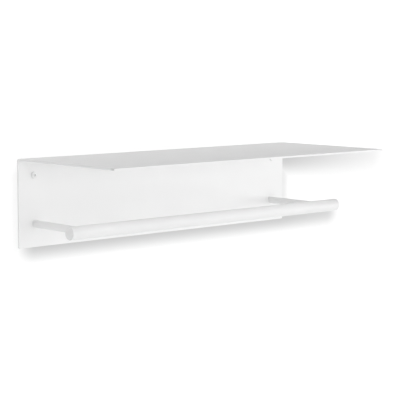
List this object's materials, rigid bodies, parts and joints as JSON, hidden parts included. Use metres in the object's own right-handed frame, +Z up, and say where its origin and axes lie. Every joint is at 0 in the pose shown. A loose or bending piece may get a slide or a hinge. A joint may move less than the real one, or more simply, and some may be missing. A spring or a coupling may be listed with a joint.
{
  "type": "wall shelf with towel rail",
  "caption": "White powder-coated metal wall shelf folded from one sheet, with a round towel rail on two posts under it.",
  "frame": {"origin": "on the wall plane, midway between the two wall screws' axes", "axes": "+X along the shelf to the right as seen from the room, +Y into the wall, +Z up; the shelf reaches towards -Y"},
  "size_m": [0.6, 0.297, 0.145],
  "materials": {
    "powder_coated_sheet": "fine matt white powder coat on folded steel sheet",
    "powder_coated_rail": "matt white powder coat on steel tube and rod",
    "coated_screw": "satin white coating, bare zinc in the thread",
    "zinc_plated_screw": "bright zinc plating",
    "nylon_plug": "moulded grey nylon"
  },
  "bodies": {
    "root": {"shelf_panel": "powder_coated_sheet", "rail_tube": "powder_coated_rail", "rail_end_slug_left": "powder_coated_rail", "rail_post_left": "powder_coated_rail", "post_screw_left": "zinc_plated_screw", "wall_screw_left": "coated_screw", "wall_plug_left": "nylon_plug", "rail_end_slug_right": "powder_coated_rail", "rail_post_right": "powder_coated_rail", "post_screw_right": "zinc_plated_screw", "wall_screw_right": "coated_screw", "wall_plug_right": "nylon_plug"}
  },
  "joints": []
}
